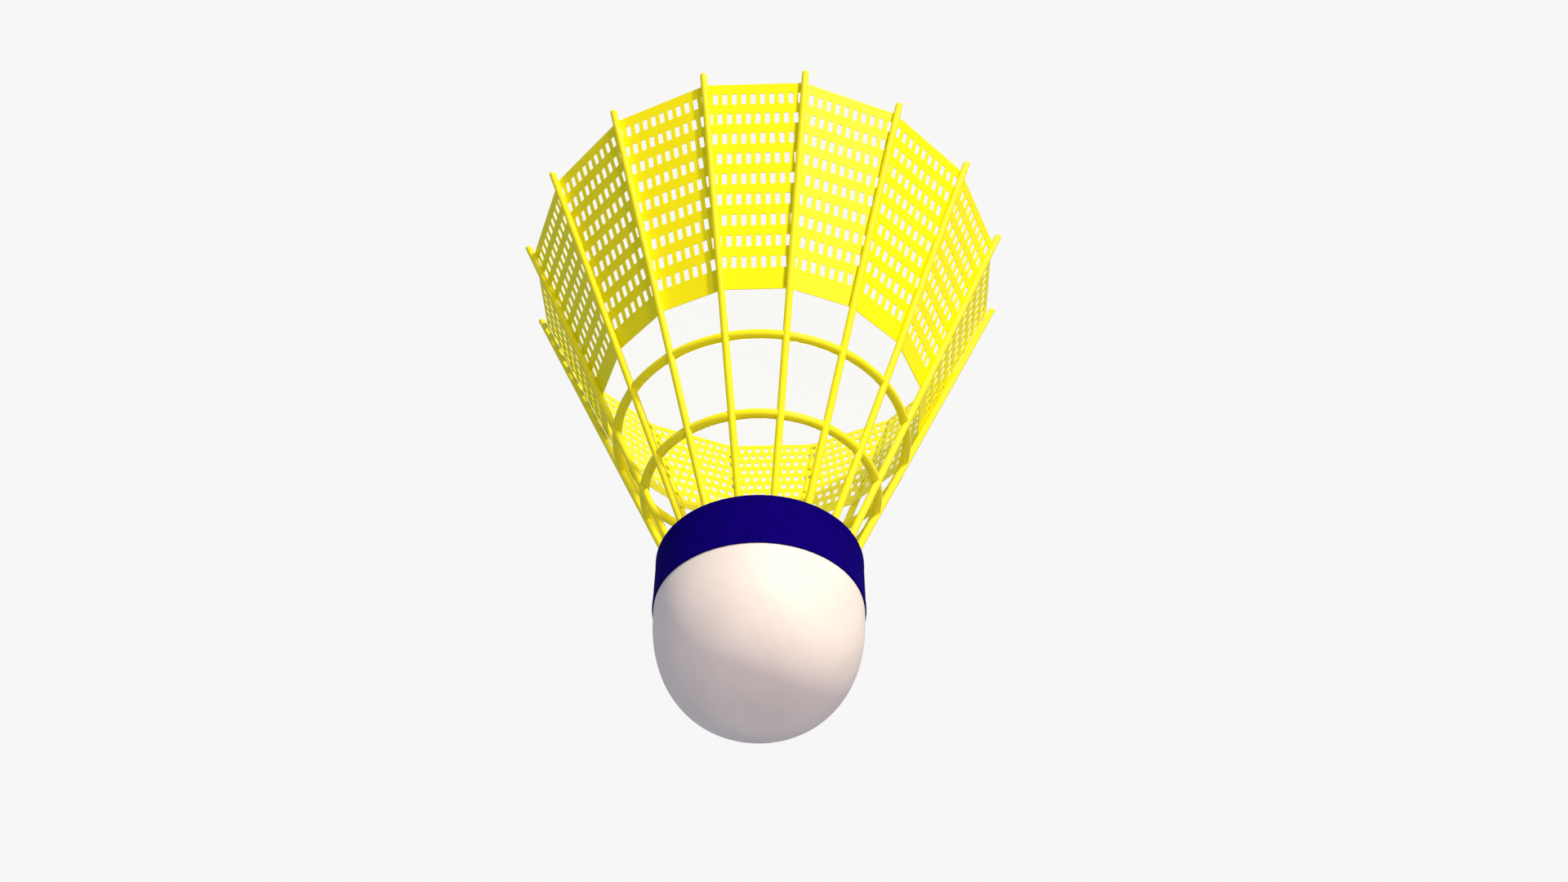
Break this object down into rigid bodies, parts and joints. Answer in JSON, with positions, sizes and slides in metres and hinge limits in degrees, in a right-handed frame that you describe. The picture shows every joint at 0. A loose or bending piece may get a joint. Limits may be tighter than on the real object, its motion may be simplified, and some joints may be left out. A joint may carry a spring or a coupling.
{
  "type": "badminton shuttlecock",
  "caption": "Synthetic badminton shuttlecock: perforated mesh panels on a conical cage of round ribs and rings, glued into a leather-covered cork base with a dark band.",
  "frame": {"origin": "centre of the skirt's rim circle, in the plane that the rib tips stand on", "axes": "+Z along the axis of the skirt and base, from the open rim towards the nose; +X and +Y each through the middle of a mesh panel"},
  "size_m": [0.0692, 0.0692, 0.0794],
  "materials": {
    "rib_nylon": "satin moulded nylon, bright yellow",
    "mesh_nylon": "thin satin moulded nylon, bright yellow",
    "cover_leather": "white coated leather, fine grain, soft sheen",
    "band_tape": "deep navy ribbon tape, satin",
    "granulated_cork": "pressed cork granules, matt",
    "natural_cork": "natural cork, matt"
  },
  "bodies": {
    "root": {"rib_01": "rib_nylon", "rib_02": "rib_nylon", "rib_03": "rib_nylon", "rib_04": "rib_nylon", "rib_05": "rib_nylon", "rib_06": "rib_nylon", "rib_07": "rib_nylon", "rib_08": "rib_nylon", "rib_09": "rib_nylon", "rib_10": "rib_nylon", "rib_11": "rib_nylon", "rib_12": "rib_nylon", "rib_13": "rib_nylon", "rib_14": "rib_nylon", "rib_15": "rib_nylon", "rib_16": "rib_nylon", "mesh_panel_01": "mesh_nylon", "mesh_panel_02": "mesh_nylon", "mesh_panel_03": "mesh_nylon", "mesh_panel_04": "mesh_nylon", "mesh_panel_05": "mesh_nylon", "mesh_panel_06": "mesh_nylon", "mesh_panel_07": "mesh_nylon", "mesh_panel_08": "mesh_nylon", "mesh_panel_09": "mesh_nylon", "mesh_panel_10": "mesh_nylon", "mesh_panel_11": "mesh_nylon", "mesh_panel_12": "mesh_nylon", "mesh_panel_13": "mesh_nylon", "mesh_panel_14": "mesh_nylon", "mesh_panel_15": "mesh_nylon", "mesh_panel_16": "mesh_nylon", "stiffening_ring_upper": "rib_nylon", "stiffening_ring_lower": "rib_nylon", "cork_body": "granulated_cork", "cork_nose": "natural_cork", "base_cover": "cover_leather", "base_band": "band_tape"}
  },
  "joints": []
}
